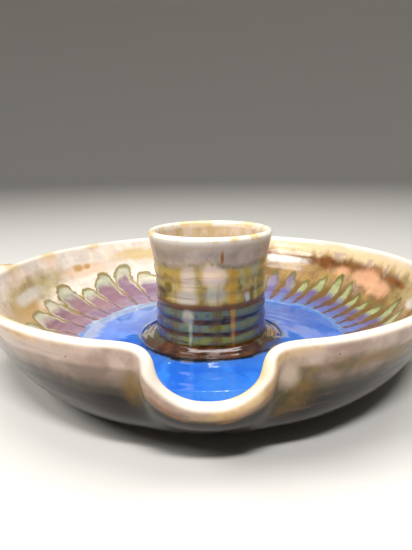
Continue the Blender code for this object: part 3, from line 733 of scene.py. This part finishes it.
def workCollar(material):
    levels = [cup["bottom"] + collar["height"] * i / 5 for i in range(6)]
    outline = [(float(cupRadius(z)) - collar["bite"], z) for z in levels]
    crest = blend(float(cupRadius(levels[-1])), collar["radius"], collar["crestShare"])
    outline += [(blend(outline[-1][0], crest, i / 3), levels[-1]) for i in range(1, 4)]
    for share in np.linspace(0, 1, 15)[1:]:
        outline.append((blend(crest, collar["radius"], share),
            cup["bottom"] + collar["toe"] + (collar["height"] - collar["toe"]) * (1 - share) ** 2))
    outline += [(collar["radius"] - 0.0002 * i, cup["bottom"] + collar["toe"] * (1 - i / 3))
        for i in range(1, 4)]
    outline += ([(blend(collar["radius"] - 0.0006, outline[0][0], i / 4), cup["bottom"])
        for i in range(1, 4)] + [outline[0]])
    marks = [1.0 if 7 < i < 22 else 0.0 for i in range(len(outline))]
    return turnPiece("collar_worked", outline, marks, 8, material, collar["columns"], collar["rings"])


def glazeCollar():
    g = Glaze("collar_glaze")
    mottle = g.noise(g.place, 120.0, 4.0, 0.6)
    sides = (g.y / (g.radius + 1e-5)).ease(-0.80, -0.45)
    colour = g.mix(tint("341c12"), tint("55301e"), mottle.ease(0.4, 0.62))
    colour = g.mix(colour,
        g.mix(tint("4c3626"), tint("4f5a48"), g.noise(g.place, 60.0, 3.0).ease(0.46, 0.60)),
        (sides + g.drift).ease(0.25, 0.75) * 0.85)
    colour = g.mix(colour, tint("37508a"), (g.radius + g.drift * 0.020).ease(0.0430, 0.0462) * sides * 0.8)
    # painted shade: near black along the collar's outer edge on the front, in the crease where it meets the
    # pool
    colour = g.mix(colour, tint("14100f"),
        (g.radius + g.drift * 0.008).ease(0.0445, 0.0468) * (1.0 - sides) * 0.85)
    return g.fire(colour, 0.10 + (mottle - 0.5) * 0.08, g.grain * 0.00006 + mottle * 0.0002,
        {**glassy, "Specular IOR Level": 0.6, "Coat Weight": 1.0, "Coat Roughness": 0.02, "bump": 0.6})


pool = {  # glass melted into the two floors
    "depth": 0.0019, "thickness": 0.0012, "meniscus": 0.0007, "meniscusWidth": 0.0012,
    "underCollar": 0.0012,                    # how far it creeps over the collar's toe
    "columnsInLip": 60, "columnsBeyond": 300, "cupDepth": 0.0020, "cupColumns": 128,
    "cupRings": {"Ring Spacing": 0.006, "Ring Depth": 0.0, "Waver": 0.0, "Lump Size": 0.02,
        "Lump Depth": 0.0, "Seed": 1},
}


def pourBowlPool(material):
    level = bowl["floorTop"] + pool["depth"]
    angle = wallAngles(pool["columnsInLip"], pool["columnsBeyond"])
    rows = np.linspace(-0.3, 0.4, 90)
    skin = innerSkin(angle[:, None], rows[None, :])
    edge = np.array([np.interp(level, column[:, 2], np.hypot(column[:, 0], column[:, 1]))
        for column in skin])
    inner = collar["radius"] - pool["underCollar"]
    share = np.concatenate((np.linspace(0, 0.12, 8), np.linspace(0.12, 0.9, 34)[1:],
        np.linspace(0.9, 1.0, 10)[1:]))
    radius = inner + (edge[:, None] - inner) * share
    fromCollar, fromWall = radius - inner, edge[:, None] - radius
    ripple = 0.00006 * np.sin(angle[:, None] * 9 + radius * 260) * np.sin(radius * 190 + 1.3)
    height = (level + pool["meniscus"] * np.exp(-fromCollar / pool["meniscusWidth"])
        + 0.00010 * np.exp(-fromWall / 0.002) + ripple)
    top = np.stack((np.sin(angle)[:, None] * radius, -np.cos(angle)[:, None] * radius, height), -1)
    under = top[:, ::-6] - (0, 0, pool["thickness"])
    skin = np.concatenate((top, under), 1)
    return meshOf("bowl_pool_poured", skin.reshape(-1, 3),
        columnsToFaces(*skin.shape[:2], poles=False, ring=True))


def glazeBowlPool():
    g = Glaze("cobalt_glass")
    clouds = g.noise(g.place, 26.0, 4.0, 0.55, 0.6)
    flow = g.noise(g.around(0.05, 0.5), 60.0, 3.0, 0.6, 0.8)
    back = g.y / (g.radius + 1e-5)
    colour = g.mix(tint("1a5cc0"), tint("2f76d2"), flow.ease(0.4, 0.62))
    colour = g.mix(colour, tint("336cc0"), clouds.ease(0.42, 0.64) * 0.8)
    colour = g.mix(colour, tint("3768ae"), back.ease(0.0, 0.9) * 0.6)
    colour = g.mix(colour, tint("8c9cb4"),
        (g.radius + g.drift * 0.014 + (flow - 0.5) * 0.010).ease(0.0745, 0.0800) * 0.8
        * (g.x / (g.radius + 1e-5)).ease(-0.2, -0.7))
    shadow = (g.radius + g.drift * 0.018).ease(0.0530, 0.0475)
    colour = g.mix(colour, tint("5c6350"), shadow * (flow + g.drift * 0.4).ease(0.40, 0.58) * 0.9)
    # painted shade: near black in a ring just outside the collar's front
    colour = g.mix(colour, tint("101521"),
        (g.radius + g.drift * 0.012).ease(0.0505, 0.0478) * back.ease(-0.2, -0.7))
    colour = g.mix(colour, tint("cfe0ef"), g.specks(85.0, 0.07, 0.14) * 0.8)
    return g.fire(colour, 0.06, g.noise(g.place, 55.0, 2.0) * 0.0004,
        {**glassy, "Specular IOR Level": 0.30, "Coat Weight": 0.45, "Coat Roughness": 0.02, "bump": 0.5})


def pourCupPool(material):
    level = cup["floorTop"] + pool["cupDepth"]
    centreHeight = cup["floorTop"] + cup["corner"]
    edge = (float(cupRadius(centreHeight)) - cup["wall"] - cup["corner"]
        + math.sqrt(cup["corner"] ** 2 - (centreHeight - level) ** 2))
    outline = [(0.0, level)] + [(edge * i / 24, level) for i in range(1, 22)]
    outline += [(edge * (21 + i / 3) / 24, level + 0.0004 * (i / 9) ** 2) for i in range(1, 10)]
    outline += [(edge - 0.0006, level - 0.0008), (0.0, level - 0.0010)]
    marks = np.zeros(len(outline))
    return turnPiece("cup_pool_poured", outline, marks, 0, material, pool["cupColumns"], pool["cupRings"])


def glazeCupPool():
    g = Glaze("amber_glass")
    clouds = g.noise(g.place, 90.0, 4.0, 0.6, 0.5)
    colour = g.mix(tint("9a7430"), tint("6a4a1a"), clouds.ease(0.4, 0.62))
    colour = g.mix(colour, tint("7f9198"), (g.radius + g.drift * 0.006).ease(0.020, 0.027) * 0.6)
    return g.fire(colour, 0.08, clouds * 0.0002,
        {**glassy, "Coat Weight": 1.0, "Coat Roughness": 0.02, "bump": 0.5})


handle = {  # a pulled strap of clay, bent and luted on
    "span": 0.042, "reach": 0.0328, "bite": 0.010, "width": 0.0125, "thickness": 0.0066, "drop": 0.0008,
    "rootWidth": 0.0165, "rootThickness": 0.0105, "rootLength": 0.012, "squareness": 0.8,
    "sweep": 83, "lutedWidth": 0.0030, "wobble": 0.010, "sides": 44, "sections": 150,   # sweep in degrees
}


def pullHandle(name, side, material):
    sides, sections = handle["sides"], handle["sections"]
    turn = np.radians(np.linspace(-handle["sweep"], handle["sweep"], sections))[:, None]
    start, reach = bowl["radius"] - handle["bite"], handle["reach"] + handle["bite"]
    x, y = start + reach * np.cos(turn), handle["span"] / 2 * np.sin(turn)
    run = np.concatenate((-reach * np.sin(turn), handle["span"] / 2 * np.cos(turn)), 1)
    run /= np.linalg.norm(run, axis=1, keepdims=True)
    root = 1 - smooth((x - bowl["radius"]) / handle["rootLength"])
    luted = np.exp(-np.clip(x - bowl["radius"] + 0.004, 0, None) / 0.0022)   # clay thumbed on to the wall
    wide = blend(handle["width"], handle["rootWidth"], root) + handle["lutedWidth"] * luted
    thick = blend(handle["thickness"], handle["rootThickness"], root)
    middle = bowl["height"] - handle["drop"] - thick / 2
    thumbed = 1 - 0.05 * np.exp(-((turn / 0.35) ** 2))
    around = np.linspace(0, tau, sides, endpoint=False)[None, :]
    flat = np.copysign(np.abs(np.cos(around)) ** handle["squareness"], np.cos(around))
    wobble = 1 + handle["wobble"] * np.sin(turn * 7 + side) * np.cos(around * 2)
    across = flat * wide / 2 * wobble
    points = np.stack(((x + run[:, 1:] * across) * side, y - run[:, :1] * across,
        middle + np.sin(around) * thick / 2 * thumbed), -1)
    faces = []
    for i in range(sections - 1):
        for j in range(sides):
            k = (j + 1) % sides
            quad = (i * sides + j, (i + 1) * sides + j, (i + 1) * sides + k, i * sides + k)
            faces.append(quad if side > 0 else quad[::-1])
    ends = [tuple(range(sides)), tuple(range((sections - 1) * sides, sections * sides))[::-1]]
    faces += ends if side > 0 else [end[::-1] for end in ends]
    piece = meshOf(name, points.reshape(-1, 3), faces)
    piece.data.materials.append(material)
    return piece


def glazeHandle():
    g = Glaze("handle_glaze")
    mottle = g.noise(g.place, 80.0, 4.0, 0.6)
    streaks = g.noise(g.vector(g.x * 0.3, g.y, g.z), 160.0, 3.0, 0.6)
    colour = g.mix(tint("f1e4cb"), tint("dcc8b0"), mottle.ease(0.42, 0.66))
    colour = g.mix(colour, tint("c9a154"), (streaks + g.drift).ease(0.50, 0.70) * 0.75)
    colour = g.mix(colour, tint("9a7b3c"), (g.z + g.drift * 0.004).ease(0.0530, 0.0500) * 0.7)
    colour = g.mix(colour, tint("6b4a2a"), g.specks(190.0, 0.09, 0.15) * 0.8)
    return g.fire(colour, 0.16 + (mottle - 0.5) * 0.12, g.grain * 0.00006 + mottle * 0.00018,
        {**glassy, "bump": 0.7})


thrown = throwBowl(glazeBowl())
settle(thrown, "bowl")
print("bowl thrown:", len(thrown.data.polygons), "faces")

clay = glazeFoot()
outline = footOutline()
marks = [0.5 if z > foot["edge"] else 0.0 for _, z in outline]   # none where it rests
footPiece = turnPiece("foot_turned", outline, marks, 0, clay, foot["columns"], foot["rings"])
settle(footPiece, "foot_ring")

cupPiece = raiseCup(glazeCup())
settle(cupPiece, "dip_cup")
collarPiece = workCollar(glazeCollar())
settle(collarPiece, "cup_collar")
print("cup and collar raised")

bluePool = pourBowlPool(None)
bluePool.data.materials.append(glazeBowlPool())
settle(bluePool, "bowl_glaze_pool")
amberPool = pourCupPool(glazeCupPool())
settle(amberPool, "cup_glaze_pool")
print("glass poured")

handleGlaze = glazeHandle()
for name, side in (("left_handle", -1), ("right_handle", 1)):
    settle(pullHandle(name + "_pulled", side, handleGlaze), name)
print("handles pulled")


studio = {  # pale paper, a dim room and three soft lamps
    "floor": "cfccc7", "room": 0.22, "flat": 2.2, "bend": 1.3, "wallTop": 3.6, "columns": 96,
    "lamps": (  # name, place, aim, size, watts, colour
        ("window", (-0.74, -0.36, 0.80), (0, 0, 0.04), (0.50, 0.36), 7.5, (1.0, 0.985, 0.96)),
        ("front_softbox", (0.06, -0.72, 1.00), (0, 0, 0.04), (0.36, 0.11), 12.0, (1, 1, 1)),
        ("overhead", (0.06, 0.10, 1.30), (0, 0, 0.03), (1.00, 0.90), 13.0, (1, 1, 1)),
    ),
}


def layFloor():  # one sweep of pale paper, the same from every side
    steps = np.radians(np.linspace(0, 90, 20))
    side = [(0.0, 0.0)]
    side += [(studio["flat"] + studio["bend"] * math.sin(t), studio["bend"] * (1 - math.cos(t)))
        for t in steps]
    side.append((studio["flat"] + studio["bend"], studio["wallTop"]))
    around = np.linspace(0, tau, studio["columns"], endpoint=False)
    points = [(0.0, 0.0, 0.0)] + [(r * math.sin(a), -r * math.cos(a), z)
        for a in around for r, z in side[1:]]
    rows = len(side) - 1
    faces = []
    for i in range(studio["columns"]):
        here, after = 1 + i * rows, 1 + (i + 1) % studio["columns"] * rows
        faces.append((0, here, after))
        faces += [(here + j, here + j + 1, after + j + 1, after + j) for j in range(rows - 1)]
    floor = meshOf("studio_floor", np.array(points), faces)
    material = bpy.data.materials.new("floor_paper")
    material.use_nodes = True
    shader = material.node_tree.nodes["Principled BSDF"]
    shader.inputs["Base Color"].default_value = tint(studio["floor"])
    shader.inputs["Roughness"].default_value = 0.65
    floor.data.materials.append(material)


def hangLight(name, place, aim, size, power, colour):
    lamp = bpy.data.lights.new(name, "AREA")
    lamp.shape, lamp.size, lamp.size_y = "RECTANGLE", size[0], size[1]
    lamp.energy, lamp.color = power, colour
    light = bpy.data.objects.new(name, lamp)
    light.location = place
    light.rotation_euler = (Vector(aim) - Vector(place)).to_track_quat("-Z", "Y").to_euler()
    bpy.context.scene.collection.objects.link(light)


layFloor()
world = bpy.data.worlds.new("studio_air")
world.use_nodes = True
world.node_tree.nodes["Background"].inputs["Color"].default_value = (1.0, 0.99, 0.97, 1)
world.node_tree.nodes["Background"].inputs["Strength"].default_value = studio["room"]
bpy.context.scene.world = world
bpy.context.scene.view_settings.view_transform = "Standard"
for lamp in studio["lamps"]:
    hangLight(*lamp)

view = {  # degrees, and a lens in millimetres
    "place": (0.0031, -0.3160, 0.130), "turn": -1.11, "tilt": 13.57, "roll": 0.81,
    "lens": 32.66182, "sensor": 36.0, "nearest": 0.01,
}
camera = bpy.data.objects.new("camera", bpy.data.cameras.new("camera"))
camera.data.lens, camera.data.sensor_width = view["lens"], view["sensor"]
camera.data.clip_start = view["nearest"]
turn, tilt, roll = (math.radians(view[key]) for key in ("turn", "tilt", "roll"))
forward = Vector((math.sin(turn) * math.cos(tilt), math.cos(turn) * math.cos(tilt), -math.sin(tilt)))
level = Vector((math.cos(turn), -math.sin(turn), 0))
upward = level.cross(forward)
rightward = level * math.cos(roll) - upward * math.sin(roll)
upward = rightward.cross(forward)
camera.matrix_world = (Matrix.Translation(view["place"])
    @ Matrix((rightward, upward, -forward)).transposed().to_4x4())
bpy.context.scene.collection.objects.link(camera)
bpy.context.scene.camera = camera
print("studio set")
